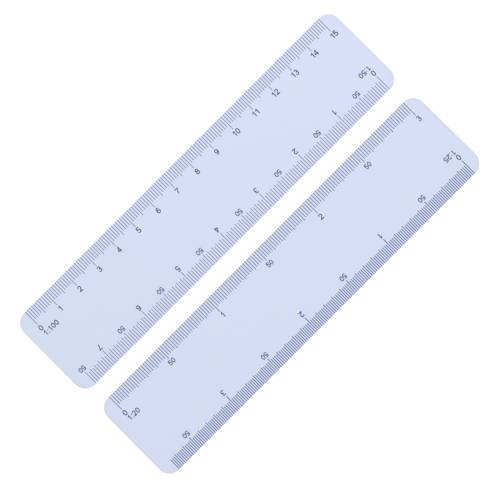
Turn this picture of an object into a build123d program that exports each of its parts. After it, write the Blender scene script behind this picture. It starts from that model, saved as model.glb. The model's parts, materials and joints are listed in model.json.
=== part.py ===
from build123d import *
from collections import namedtuple
from math import atan2, degrees, hypot
import os

os.makedirs("parts", exist_ok=True)

# Two flat plastic scale rulers lying parallel, side by side, with a gap between them. Their
# blades are the same. Ruler A is printed 1:100 and 1:50, and ruler B 1:20 and 1:25.
# Millimetres. +X runs along the rulers, +Y across them from ruler B to ruler A, and +Z is up.
# The origin is on the surface that they lie on, under the middle of the pair.

# ------------------------------------------------------------------------ the plastic blade
BLADE_LENGTH = 161.0
BLADE_WIDTH = 36.5
BLADE_THICKNESS = 1.0
CORNER_RADIUS = 5.0
EDGE_ROUNDING = 0.15
RULER_GAP = 6.7

# ------------------------------------------------------------------------ the print
# Every mark is a separate film of ink on the upper face.
INK_THICKNESS = 0.02

# A line's length says what it stands for. It is measured from the blade's long edge, and the ink
# starts where the rounding of that edge ends.
METRE_LINE = 6.6
HALF_METRE_LINE = 5.6
TENTH_LINE = 5.15
FINE_LINE = 4.65

# Each kind of print has its digits' height, and the step from one digit to the next.
Print = namedtuple("Print", "height step")
METRE_PRINT = Print(2.2, 1.5)
HALF_METRE_PRINT = Print(1.96, 1.42)
RATIO_PRINT = Print(2.06, 1.55)
COLON_STEP = 0.5  # as a share of a digit's step
NUMERAL_CLEARANCE = 0.55  # from the end of a line to the top of its numeral
RATIO_CLEARANCE = 0.4  # from the bottom of the zero to the top of the ratio

# A scale's ratio, its lines in each metre that it measures, its last line, its lines' width, and
# how far its zero is from the blade's end. The print sits a little towards +X on both blades.
Scale = namedtuple("Scale", "ratio lines_per_metre last_line line_width zero_inset")
SCALE_100 = Scale(100, 10, 150, 0.19, 5.6)
SCALE_50 = Scale(50, 20, 150, 0.19, 5.3)
SCALE_20 = Scale(20, 50, 150, 0.225, 5.6)
SCALE_25 = Scale(25, 50, 188, 0.265, 5.3)

MILLIMETRES_PER_METRE = 1000


# ------------------------------------------------------------------------ strokes of a character
# Characters stand on their baseline, y = 0, and are centred on x = 0. They are drawn at this size,
# and scaled to the height of their print.
DIGIT_HEIGHT = 1.96
DIGIT_WIDTH = 1.27
STROKE = 0.3
HALF_STROKE = STROKE / 2
BOWL = DIGIT_WIDTH / 2 - HALF_STROKE
MIDDLE = DIGIT_HEIGHT / 2


def oval_stroke(centre, x_radius, y_radius, start=0, turn=360):
    """Add a stroke whose middle follows an upright oval, from an angle and round by a turn."""
    outer_radii = (x_radius + HALF_STROKE, y_radius + HALF_STROKE)
    inner_radii = (x_radius - HALF_STROKE, y_radius - HALF_STROKE)
    if turn == 360:
        with BuildSketch() as ring:
            with Locations(centre):
                Ellipse(*outer_radii)
                Ellipse(*inner_radii, mode=Mode.SUBTRACT)
        add(ring.sketch)
    else:
        with BuildLine() as outline:
            outer = EllipticalCenterArc(centre, *outer_radii, start, arc_size=turn)
            inner = EllipticalCenterArc(centre, *inner_radii, start, arc_size=turn)
            Line(outer @ 0, inner @ 0)
            Line(outer @ 1, inner @ 1)
        make_face(outline.edges())


def straight_stroke(start, end):
    """Add a straight stroke with square ends between two points."""
    run = (end[0] - start[0], end[1] - start[1])
    middle = (start[0] + run[0] / 2, start[1] + run[1] / 2)
    with Locations(middle):
        Rectangle(hypot(*run), STROKE, rotation=degrees(atan2(run[1], run[0])))


def filled_outline(*points):
    """Add the straight-sided shape that these corners enclose."""
    with BuildLine() as outline:
        Polyline(*points, close=True)
    make_face(outline.edges())


# ------------------------------------------------------------------------ the characters
def digit_0():
    with BuildSketch() as digit:
        oval_stroke((0, MIDDLE), BOWL, MIDDLE - HALF_STROKE)
    return digit.sketch


def digit_1():
    stem_left, stem_right = -0.01, -0.01 + STROKE
    flag_tip = -0.465
    with BuildSketch() as digit:
        filled_outline(
            (stem_right, 0),
            (stem_right, DIGIT_HEIGHT),
            (0.08, DIGIT_HEIGHT),
            (-0.16, 1.68),
            (flag_tip, 1.50),
            (flag_tip, 1.21),
            (stem_left, 1.50),
            (stem_left, 0),
        )
    return digit.sketch


def digit_2():
    bowl_height = 0.5
    with BuildSketch() as digit:
        oval_stroke((0, DIGIT_HEIGHT - HALF_STROKE - bowl_height), BOWL, bowl_height, -42, 210)
        straight_stroke((0.40, 1.02), (-0.48, 0.19))
        straight_stroke((-DIGIT_WIDTH / 2, HALF_STROKE), (DIGIT_WIDTH / 2, HALF_STROKE))
    return digit.sketch


def digit_3():
    lower_height = 0.44
    upper_height = MIDDLE - HALF_STROKE - lower_height
    waist = 2 * lower_height + HALF_STROKE
    with BuildSketch() as digit:
        oval_stroke((0, waist + upper_height), BOWL - 0.07, upper_height, -90, 252)
        oval_stroke((0, waist - lower_height), BOWL, lower_height, -162, 252)
        straight_stroke((-0.2, waist), (0, waist))
    return digit.sketch


def digit_4():
    bar_bottom, bar_top = 0.43, 0.70
    stem_left, stem_right = 0.10, 0.10 + STROKE
    left, right = -DIGIT_WIDTH / 2, DIGIT_WIDTH / 2
    with BuildSketch() as digit:
        filled_outline(
            (stem_left, 0),
            (stem_right, 0),
            (stem_right, bar_bottom),
            (right, bar_bottom),
            (right, bar_top),
            (stem_right, bar_top),
            (stem_right, DIGIT_HEIGHT),
            (0.14, DIGIT_HEIGHT),
            (left, bar_top + 0.02),
            (left, bar_bottom),
            (stem_left, bar_bottom),
        )
        with BuildSketch(mode=Mode.SUBTRACT):
            filled_outline((stem_left, bar_top), (stem_left, 1.47), (-0.34, bar_top))
    return digit.sketch


def digit_5():
    bowl_height = 0.52
    top_bar = DIGIT_HEIGHT - HALF_STROKE
    with BuildSketch() as digit:
        oval_stroke((0, bowl_height + HALF_STROKE), BOWL, bowl_height, -163, 305)
        straight_stroke((-0.36, DIGIT_HEIGHT - 0.02), (-0.46, 0.9))
        straight_stroke((-0.44, top_bar), (0.52, top_bar))
    return digit.sketch


def digit_6():
    bowl_height = 0.5
    with BuildSketch() as digit:
        oval_stroke((0, bowl_height + HALF_STROKE), BOWL, bowl_height)
        oval_stroke((0.03, MIDDLE), BOWL + 0.03, MIDDLE - HALF_STROKE, 38, 167)
    return digit.sketch


def digit_7():
    left, right = -DIGIT_WIDTH / 2, DIGIT_WIDTH / 2
    bar_bottom = DIGIT_HEIGHT - STROKE
    with BuildSketch() as digit:
        filled_outline(
            (left, DIGIT_HEIGHT),
            (right, DIGIT_HEIGHT),
            (right, bar_bottom + 0.05),
            (0.23, 1.15),
            (0.01, 0.55),
            (-0.07, 0),
            (-0.07 - STROKE, 0),
            (-0.29, 0.57),
            (-0.07, 1.15),
            (0.27, bar_bottom),
            (left, bar_bottom),
        )
    return digit.sketch


def digit_8():
    lower_height = 0.43
    upper_height = MIDDLE - HALF_STROKE - lower_height
    waist = 2 * lower_height + HALF_STROKE
    with BuildSketch() as digit:
        oval_stroke((0, waist + upper_height), BOWL - 0.07, upper_height)
        oval_stroke((0, waist - lower_height), BOWL, lower_height)
    return digit.sketch


def digit_9():
    """A 9 is a 6 turned upside down."""
    with BuildSketch() as digit:
        with Locations((0, DIGIT_HEIGHT)):
            add(digit_6(), rotation=180)
    return digit.sketch


def colon():
    upper_dot = 1.30
    with BuildSketch() as dots:
        with Locations((0, HALF_STROKE), (0, upper_dot)):
            Rectangle(STROKE, STROKE)
    return dots.sketch


CHARACTERS = {
    "0": digit_0(),
    "1": digit_1(),
    "2": digit_2(),
    "3": digit_3(),
    "4": digit_4(),
    "5": digit_5(),
    "6": digit_6(),
    "7": digit_7(),
    "8": digit_8(),
    "9": digit_9(),
    ":": colon(),
}


def typeset(text, print_size, left, top):
    """Add a line of characters, from left, below top."""
    pen = left
    for character in text:
        width = print_size.step * (COLON_STEP if character == ":" else 1)
        with Locations((pen + width / 2, top - print_size.height)):
            add(CHARACTERS[character].scale(print_size.height / DIGIT_HEIGHT))
        pen += width


# ------------------------------------------------------------------------ the marks of one scale
# A scale is laid out on a plane of its own: its origin is the blade's corner at the zero end of
# the graduated edge, x runs along that edge, and y points out of the blade, so its marks are at
# negative y and read upright.
def metre_pitch(scale):
    return MILLIMETRES_PER_METRE / scale.ratio


def line_x(scale, line):
    return scale.zero_inset + line * metre_pitch(scale) / scale.lines_per_metre


def line_length(scale, line):
    """Whole metres have the longest lines, then half metres, then tenths of a metre."""
    tenth = scale.lines_per_metre // 10
    if line % scale.lines_per_metre == 0:
        return METRE_LINE
    if line % (scale.lines_per_metre // 2) == 0:
        return HALF_METRE_LINE
    if tenth > 1 and line % tenth == 0:
        return TENTH_LINE
    return FINE_LINE


def numeral(scale, line):
    """What is printed under a line: metres, or 50 (centimetres) at a half metre with room."""
    metres, rest = divmod(line, scale.lines_per_metre)
    if rest == 0:
        return str(metres), METRE_PRINT
    if rest == scale.lines_per_metre // 2 and scale.lines_per_metre > 10:
        return "50", HALF_METRE_PRINT
    return "", METRE_PRINT


def numeral_top(line_end):
    return -(line_end + NUMERAL_CLEARANCE)


def graduations(plane, scale):
    """The lines of a scale."""
    with BuildPart() as lines:
        with BuildSketch(plane):
            for line in range(scale.last_line + 1):
                with Locations((line_x(scale, line), -EDGE_ROUNDING)):
                    length = line_length(scale, line) - EDGE_ROUNDING
                    Rectangle(scale.line_width, length, align=(Align.CENTER, Align.MAX))
        extrude(amount=INK_THICKNESS)
    return lines.part


def numerals(plane, scale):
    """The numbers along a scale, each centred on its line."""
    with BuildPart() as numbers:
        with BuildSketch(plane):
            for line in range(scale.last_line + 1):
                text, print_size = numeral(scale, line)
                left = line_x(scale, line) - len(text) * print_size.step / 2
                typeset(text, print_size, left, numeral_top(line_length(scale, line)))
        extrude(amount=INK_THICKNESS)
    return numbers.part


def ratio_label(plane, scale):
    """The scale's ratio, its first digit straight below the zero."""
    with BuildPart() as label:
        with BuildSketch(plane):
            left = scale.zero_inset - RATIO_PRINT.step / 2
            top = numeral_top(METRE_LINE) - METRE_PRINT.height - RATIO_CLEARANCE
            typeset(f"1:{scale.ratio}", RATIO_PRINT, left, top)
        extrude(amount=INK_THICKNESS)
    return label.part


# ------------------------------------------------------------------------ the pair
HALF_LENGTH = BLADE_LENGTH / 2
HALF_WIDTH = BLADE_WIDTH / 2
HALF_PITCH = (BLADE_WIDTH + RULER_GAP) / 2

# Each ruler's middle, the scale on its far edge, and the one on its near edge, upside down to it.
Ruler = namedtuple("Ruler", "name middle_y far_scale near_scale")
RULERS = [
    Ruler("ruler_a", HALF_PITCH, SCALE_100, SCALE_50),
    Ruler("ruler_b", -HALF_PITCH, SCALE_20, SCALE_25),
]


def write(piece, name):
    """Name a finished piece and write it out."""
    piece.label = name
    export_step(piece, f"parts/{name}.step")


for ruler in RULERS:
    with BuildPart() as blade:
        with BuildSketch(Plane((0, ruler.middle_y, 0))):
            RectangleRounded(BLADE_LENGTH, BLADE_WIDTH, CORNER_RADIUS)
        extrude(amount=BLADE_THICKNESS)
        flat_faces = blade.faces().filter_by(Axis.Z)
        fillet(flat_faces.edges(), EDGE_ROUNDING)
    write(blade.part, f"{ruler.name}_blade")

    far_corner = (-HALF_LENGTH, ruler.middle_y + HALF_WIDTH, BLADE_THICKNESS)
    near_corner = (HALF_LENGTH, ruler.middle_y - HALF_WIDTH, BLADE_THICKNESS)
    scale_planes = {
        ruler.far_scale: Plane(far_corner, x_dir=(1, 0, 0), z_dir=(0, 0, 1)),
        ruler.near_scale: Plane(near_corner, x_dir=(-1, 0, 0), z_dir=(0, 0, 1)),
    }
    for scale, plane in scale_planes.items():
        name = f"{ruler.name}_1_{scale.ratio}"
        write(graduations(plane, scale), f"{name}_graduations")
        write(numerals(plane, scale), f"{name}_numerals")
        write(ratio_label(plane, scale), f"{name}_ratio_label")
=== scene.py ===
import json
from math import cos, pi, sin

import bmesh
import bpy
from mathutils import Matrix, Vector

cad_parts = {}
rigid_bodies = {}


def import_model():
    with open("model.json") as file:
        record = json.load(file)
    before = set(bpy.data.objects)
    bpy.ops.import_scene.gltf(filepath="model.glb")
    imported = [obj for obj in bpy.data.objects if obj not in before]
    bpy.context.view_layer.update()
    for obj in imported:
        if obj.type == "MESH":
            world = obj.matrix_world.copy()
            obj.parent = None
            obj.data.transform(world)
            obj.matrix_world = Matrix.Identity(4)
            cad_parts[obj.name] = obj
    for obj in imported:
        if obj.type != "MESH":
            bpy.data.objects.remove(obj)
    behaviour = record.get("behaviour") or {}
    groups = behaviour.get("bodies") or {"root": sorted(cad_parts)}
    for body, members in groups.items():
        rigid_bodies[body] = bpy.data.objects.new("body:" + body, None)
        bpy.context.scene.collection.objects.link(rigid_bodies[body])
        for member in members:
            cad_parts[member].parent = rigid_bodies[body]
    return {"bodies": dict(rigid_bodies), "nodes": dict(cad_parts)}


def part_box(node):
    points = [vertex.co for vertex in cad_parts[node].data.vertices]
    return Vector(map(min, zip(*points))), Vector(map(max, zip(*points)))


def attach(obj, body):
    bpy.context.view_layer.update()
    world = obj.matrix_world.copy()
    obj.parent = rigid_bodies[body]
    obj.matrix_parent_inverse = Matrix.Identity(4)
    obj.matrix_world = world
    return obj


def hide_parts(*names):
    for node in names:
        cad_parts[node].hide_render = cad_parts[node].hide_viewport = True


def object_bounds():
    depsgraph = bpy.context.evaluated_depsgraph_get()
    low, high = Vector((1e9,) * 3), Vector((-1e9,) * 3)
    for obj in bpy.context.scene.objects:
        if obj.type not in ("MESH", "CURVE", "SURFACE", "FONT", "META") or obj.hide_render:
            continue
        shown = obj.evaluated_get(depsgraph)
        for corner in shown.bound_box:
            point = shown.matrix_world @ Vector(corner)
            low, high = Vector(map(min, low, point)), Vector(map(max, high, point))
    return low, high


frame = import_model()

# Two flat scale rulers lying parallel on a white table, seen from above. The frame's nodes give
# every place and size. Metres: +X along the rulers, +Y across them, +Z up.
CAD_LOW, CAD_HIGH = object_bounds()
PAIR_CENTRE = (CAD_LOW + CAD_HIGH) / 2
MM = 0.001


# ---------------------------------------------------------------------------- camera
# The camera looks almost straight down, leaning over ruler B, and the rulers run up to the
# right of its picture.
VIEW_WIDTH = 180.5 * MM  # across the picture, at the rulers' upper faces
AIM = Vector((0.4, -0.1, 0)) * MM  # from the middle of the pair to the middle of the picture
STAND_OFF = Vector((0, -17, 500)) * MM  # from there to the camera
PICTURE_UP = Vector((1, 1, 0))
SENSOR_WIDTH = 36  # millimetres, the unit of the camera's own settings
SIGHT = 20  # how far the camera sees, as a multiple of its stand-off


def make_camera():
    data = bpy.data.cameras.new("camera")
    data.sensor_width = SENSOR_WIDTH
    data.lens = SENSOR_WIDTH * STAND_OFF.length / VIEW_WIDTH
    data.clip_end = SIGHT * STAND_OFF.length
    camera = bpy.data.objects.new("camera", data)
    bpy.context.scene.collection.objects.link(camera)
    back = STAND_OFF.normalized()
    right = PICTURE_UP.cross(back).normalized()
    turn = Matrix((right, back.cross(right), back)).transposed().to_4x4()
    target = Vector((PAIR_CENTRE.x, PAIR_CENTRE.y, CAD_HIGH.z)) + AIM
    camera.matrix_world = Matrix.Translation(target + STAND_OFF) @ turn
    bpy.context.scene.camera = camera


# ---------------------------------------------------------------------------- light and table
WORLD_STRENGTH = 0.66
SOFT_BOX_PLACE = Vector((0.7, 1.3, 1.5))
SOFT_BOX_WIDTH = 1.4
SOFT_BOX_WATTS = 24
TABLE_WIDTH = 6.0
TABLE_GAP = 0.01 * MM  # keeps the table's surface off the rulers' undersides


def make_lights():
    """An even white studio, with one large soft box up beyond ruler A."""
    world = bpy.data.worlds.new("studio")
    world.use_nodes = True
    background = world.node_tree.nodes["Background"]
    background.inputs["Color"].default_value = (1, 1, 1, 1)
    background.inputs["Strength"].default_value = WORLD_STRENGTH
    bpy.context.scene.world = world
    bpy.context.scene.view_settings.view_transform = "Standard"
    data = bpy.data.lights.new("key", "AREA")
    data.size = SOFT_BOX_WIDTH
    data.energy = SOFT_BOX_WATTS
    light = bpy.data.objects.new("key", data)
    light.location = SOFT_BOX_PLACE
    light.rotation_euler = (PAIR_CENTRE - SOFT_BOX_PLACE).to_track_quat("-Z", "Y").to_euler()
    bpy.context.scene.collection.objects.link(light)


def make_table(material):
    mesh = bpy.data.meshes.new("table")
    half = TABLE_WIDTH / 2
    z = CAD_LOW.z - TABLE_GAP
    corners = [(-half, -half, z), (half, -half, z), (half, half, z), (-half, half, z)]
    mesh.from_pydata(corners, [], [(0, 1, 2, 3)])
    mesh.materials.append(material)
    table = bpy.data.objects.new("table", mesh)
    bpy.context.scene.collection.objects.link(table)


# ---------------------------------------------------------------------------- materials
class Nodes:
    """A material's node tree, with the few helpers that the materials below share."""

    def __init__(self, name):
        self.material = bpy.data.materials.new(name)
        self.material.use_nodes = True
        self.tree = self.material.node_tree
        self.shader = self.tree.nodes["Principled BSDF"]
        self.place = self.tree.nodes.new("ShaderNodeTexCoord").outputs["Object"]

    def add(self, kind, **settings):
        node = self.tree.nodes.new(kind)
        for setting, value in settings.items():
            setattr(node, setting, value)
        return node

    def link(self, output, socket):
        self.tree.links.new(output, socket)

    def mapped(self, scale=(1, 1, 1), shift=(0, 0, 0)):
        """The object's own coordinates, scaled along each axis and shifted."""
        mapping = self.add("ShaderNodeMapping")
        mapping.inputs["Scale"].default_value = scale
        mapping.inputs["Location"].default_value = shift
        self.link(self.place, mapping.inputs["Vector"])
        return mapping.outputs["Vector"]

    def noise(self, feature, detail=2.0, where=None):
        """Noise with features of about this size, in metres."""
        node = self.add("ShaderNodeTexNoise")
        node.inputs["Scale"].default_value = 1 / feature
        node.inputs["Detail"].default_value = detail
        self.link(where or self.place, node.inputs["Vector"])
        return node.outputs["Fac"]

    def spread(self, value, low, high, from_low=0.3, from_high=0.7):
        """Map a noise value, which stays near its middle, onto low to high."""
        node = self.add("ShaderNodeMapRange")
        node.inputs["From Min"].default_value = from_low
        node.inputs["From Max"].default_value = from_high
        node.inputs["To Min"].default_value = low
        node.inputs["To Max"].default_value = high
        self.link(value, node.inputs["Value"])
        return node.outputs["Result"]

    def mix(self, factor, first, second):
        """Blend two colours, each a colour or another node's output."""
        node = self.add("ShaderNodeMix", data_type="RGBA")
        self.link(factor, node.inputs["Factor"])
        for socket, colour in (("A", first), ("B", second)):
            target = next(s for s in node.inputs if s.name == socket and s.type == "RGBA")
            if isinstance(colour, tuple):
                target.default_value = (*colour, 1)
            else:
                self.link(colour, target)
        return next(s for s in node.outputs if s.type == "RGBA")

    def bump(self, height, depth, under=None):
        """Raise the surface by a height value times depth, in metres, over another bump's."""
        node = self.add("ShaderNodeBump")
        node.inputs["Distance"].default_value = depth
        self.link(height, node.inputs["Height"])
        if under:
            self.link(under, node.inputs["Normal"])
        return node.outputs["Normal"]


LILAC = (0.667, 0.725, 0.895)
COOL = (0.6515, 0.7295, 0.877)
DEEP = (0.655, 0.722, 0.915)
# Painted shade: a darker, warmer colour towards the rim that stands in for the shading of the
# rounded edges.
RIM_SHADE_COLOUR = (0.670, 0.697, 0.822)
DRIFT_SIZE = 105 * MM
DRIFT_PLACE = (1302 * MM, 640 * MM, 0)  # where the drift is read from its noise
DRIFT_ENDS = (0.50, 0.64)  # the noise's values where the plastic is all lilac and all cool
MOTTLE_SIZE = 12 * MM
MOTTLE_SHARE = 0.6
RIM_SHADE_ATTRIBUTE = "rim_shade"  # the name under which the blades' meshes hold the strength of the painted rim shade
GRAIN_SIZE = 0.35 * MM
GRAIN_DEPTH = 0.004 * MM
SCRATCH_WIDTH = 0.25 * MM
SCRATCH_STRETCH = 50  # a scratch's length in widths
SCRATCH_DEPTH = 0.0007 * MM
PLASTIC_ROUGHNESS = (0.38, 0.47)
PLASTIC_IOR = 1.5


def white_plastic():
    """Rigid white sheet with a cool cast. Its colour drifts from lilac to cool, is faintly mottled
    with a deeper one and has painted shade, darker and warmer, at the rim for its rounded edges.
    Its satin surface has hair scratches along it."""
    nodes = Nodes("white_plastic")
    broad = nodes.noise(DRIFT_SIZE, detail=1, where=nodes.mapped(shift=DRIFT_PLACE))
    drift = nodes.spread(broad, 0, 1, *DRIFT_ENDS)
    mottle = nodes.spread(nodes.noise(MOTTLE_SIZE), 0, MOTTLE_SHARE)
    colour = nodes.mix(mottle, nodes.mix(drift, LILAC, COOL), DEEP)
    # Painted shade: the plastic turns darker and warmer towards the rim, as shade for its rounded
    # edges.
    rim_shade = nodes.add("ShaderNodeAttribute", attribute_name=RIM_SHADE_ATTRIBUTE)
    colour = nodes.mix(rim_shade.outputs["Fac"], colour, RIM_SHADE_COLOUR)
    nodes.link(colour, nodes.shader.inputs["Base Color"])

    grain = nodes.noise(GRAIN_SIZE, detail=3)
    along = nodes.mapped(scale=(1 / SCRATCH_STRETCH, 1, 1))
    scratches = nodes.noise(SCRATCH_WIDTH, detail=1, where=along)
    nodes.link(nodes.spread(scratches, *PLASTIC_ROUGHNESS), nodes.shader.inputs["Roughness"])
    surface = nodes.bump(grain, GRAIN_DEPTH)
    surface = nodes.bump(scratches, SCRATCH_DEPTH, under=surface)
    nodes.link(surface, nodes.shader.inputs["Normal"])
    nodes.shader.inputs["IOR"].default_value = PLASTIC_IOR
    return nodes.material


# Each ink's colour where it is full and where it is thin. The fine lines take less ink than the
# figures do, so they are bluer.
FINE_LINE_COLOURS = ((0.009, 0.064, 0.205), (0.022, 0.100, 0.285))
LETTERING_COLOURS = ((0.016, 0.048, 0.145), (0.032, 0.085, 0.225))
DENSITY_SIZE = 0.5 * MM
DENSITY_ENDS = (0.45, 0.8)  # the noise's values where the ink is full and where it is thin
PIT_SIZE = 0.06 * MM
PIT_DEPTH = 0.002 * MM
INK_ROUGHNESS = (0.45, 0.65)
INK_SPECULAR = 0.35


def printing_ink(name, full, thin):
    """Ink a little uneven in density, from full to thin, with a dry, finely pitted surface."""
    nodes = Nodes(name)
    density = nodes.spread(nodes.noise(DENSITY_SIZE, detail=3), 0, 1, *DENSITY_ENDS)
    nodes.link(nodes.mix(density, full, thin), nodes.shader.inputs["Base Color"])
    pits = nodes.noise(PIT_SIZE)
    nodes.link(nodes.spread(pits, *INK_ROUGHNESS), nodes.shader.inputs["Roughness"])
    nodes.link(nodes.bump(pits, PIT_DEPTH), nodes.shader.inputs["Normal"])
    nodes.shader.inputs["Specular IOR Level"].default_value = INK_SPECULAR
    return nodes.material


TABLE_DARKER = (0.90, 0.90, 0.90)
TABLE_LIGHTER = (0.91, 0.91, 0.91)
TABLE_MOTTLE_SIZE = 0.25
TABLE_ROUGHNESS = 0.8
TABLE_SPECULAR = 0.2
TABLE_GLOW = 0.4


def table_paint():
    """The matt white table under the rulers, a light table that glows a little."""
    nodes = Nodes("table_paint")
    tone = nodes.spread(nodes.noise(TABLE_MOTTLE_SIZE), 0, 1)
    nodes.link(nodes.mix(tone, TABLE_DARKER, TABLE_LIGHTER), nodes.shader.inputs["Base Color"])
    nodes.shader.inputs["Roughness"].default_value = TABLE_ROUGHNESS
    nodes.shader.inputs["Specular IOR Level"].default_value = TABLE_SPECULAR
    nodes.shader.inputs["Emission Color"].default_value = (1, 1, 1, 1)
    nodes.shader.inputs["Emission Strength"].default_value = TABLE_GLOW
    return nodes.material


# ---------------------------------------------------------------------------- blades
# A blade is a rounded rectangle with every edge softly rounded. Its mesh is a series of loops
# round the outline, each at its own inset and height, and a grid of squares in the middle of the
# top and of the underside.
CORNER_RADIUS = 5.0 * MM
EDGE_ROUNDING = 0.15 * MM
ROUNDING_STEPS = 4
CORNER_STEPS = 24
LONG_STEPS = 38
SHORT_STEPS = 7
HOLDING_INSET = 0.25 * MM  # a loop that keeps the flat faces flat up to their rounding
# The rim's painted shade: a darker, warmer colour towards the edges, standing in for the shading
# of the rounded edge.
RIM_SHADE_INSET = 1.6 * MM  # where the painted rim shade, darker and warmer, has faded out
SIDE_SHADE = 0.5  # the painted rim shade's strength along the blade's sides
END_SHADE = 1.0  # and along its ends
MERGE_DISTANCE = 0.001 * MM  # joins the points that fall on one place
AREA_WEIGHT = 100  # the most, so that the large flat faces keep their shading flat


def outline(low, high, inset, z):
    """The points of one loop, anticlockwise from the right-hand end, each with the strength of
    the painted rim shade there."""
    radius = CORNER_RADIUS - inset
    left, right = low.x + CORNER_RADIUS, high.x - CORNER_RADIUS
    near, far = low.y + CORNER_RADIUS, high.y - CORNER_RADIUS
    corners = [(right, far), (left, far), (left, near), (right, near)]
    points = []
    for quarter, (x, y) in enumerate(corners):
        for step in range(CORNER_STEPS + 1):
            angle = (quarter + step / CORNER_STEPS) * pi / 2
            point = Vector((x + radius * cos(angle), y + radius * sin(angle), z))
            shade_strength = SIDE_SHADE + (END_SHADE - SIDE_SHADE) * abs(cos(angle))
            points.append((point, shade_strength))
        next_x, next_y = corners[(quarter + 1) % len(corners)]
        start = points[-1][0]
        run = Vector((next_x - x, next_y - y, 0))
        along_side = quarter % 2 == 0
        steps, shade_strength = (LONG_STEPS, SIDE_SHADE) if along_side else (SHORT_STEPS, END_SHADE)
        points += [(start + run * step / steps, shade_strength) for step in range(1, steps)]
    return points


def blade_profile(low, high):
    """(inset, height) of each loop, from the middle of the top over the edge to underneath."""
    over = []
    for step in range(ROUNDING_STEPS + 1):
        angle = step / ROUNDING_STEPS * pi / 2
        over.append((EDGE_ROUNDING * (1 - sin(angle)), high.z - EDGE_ROUNDING * (1 - cos(angle))))
    flat = [(CORNER_RADIUS, high.z), (RIM_SHADE_INSET, high.z), (HOLDING_INSET, high.z)]
    top = flat + over
    underside = [(inset, low.z + high.z - z) for inset, z in reversed(top)]
    return top + underside


def fill_middle(work, low, high, z, faces_up):
    """The grid inside the innermost loop, whose corners are the centres of the blade's corners."""
    left, right = low.x + CORNER_RADIUS, high.x - CORNER_RADIUS
    near, far = low.y + CORNER_RADIUS, high.y - CORNER_RADIUS
    across = [near + (far - near) * j / SHORT_STEPS for j in range(SHORT_STEPS + 1)]
    grid = []
    for i in range(LONG_STEPS + 1):
        x = left + (right - left) * i / LONG_STEPS
        grid.append([work.verts.new((x, y, z)) for y in across])
    for i in range(LONG_STEPS):
        for j in range(SHORT_STEPS):
            square = [grid[i][j], grid[i + 1][j], grid[i + 1][j + 1], grid[i][j + 1]]
            work.faces.new(square if faces_up else reversed(square))


def blade_mesh(node):
    """The closed surface of a blade, as large as the CAD node and in the same place."""
    low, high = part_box(node)
    work = bmesh.new()
    rim_shade = work.verts.layers.float.new(RIM_SHADE_ATTRIBUTE)
    loops = []
    for inset, z in blade_profile(low, high):
        loop = []
        for point, shade_strength in outline(low, high, inset, z):
            vertex = work.verts.new(point)
            # the painted rim shade's strength, none on the loops further in
            vertex[rim_shade] = shade_strength if inset < RIM_SHADE_INSET else 0.0
            loop.append(vertex)
        loops.append(loop)
    for upper, lower in zip(loops, loops[1:]):
        for i, vertex in enumerate(upper):
            after = (i + 1) % len(upper)
            work.faces.new((vertex, lower[i], lower[after], upper[after]))
    fill_middle(work, low, high, high.z, faces_up=True)
    fill_middle(work, low, high, low.z, faces_up=False)
    bmesh.ops.remove_doubles(work, verts=work.verts, dist=MERGE_DISTANCE)
    for face in work.faces:
        face.smooth = True
    mesh = bpy.data.meshes.new(node)
    work.to_mesh(mesh)
    work.free()
    return mesh


def make_blade(node, body, material):
    mesh = blade_mesh(node)
    mesh.materials.append(material)
    blade = bpy.data.objects.new(f"{body}_sheet", mesh)
    bpy.context.scene.collection.objects.link(blade)
    normals = blade.modifiers.new("flat_faces", "WEIGHTED_NORMAL")
    normals.weight = AREA_WEIGHT
    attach(blade, body)
    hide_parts(node)


# ---------------------------------------------------------------------------- the object
def dress_ink(fine_lines, lettering):
    """Give the graduations one ink, and the numerals and labels the other."""
    for name, node in frame["nodes"].items():
        if not name.endswith("_blade"):
            node.data.materials.clear()
            node.data.materials.append(fine_lines if name.endswith("_graduations") else lettering)


make_camera()
make_lights()
make_table(table_paint())
plastic = white_plastic()
for ruler in frame["bodies"]:
    make_blade(f"{ruler}_blade", ruler, plastic)
dress_ink(
    fine_lines=printing_ink("fine_line_ink", *FINE_LINE_COLOURS),
    lettering=printing_ink("lettering_ink", *LETTERING_COLOURS),
)
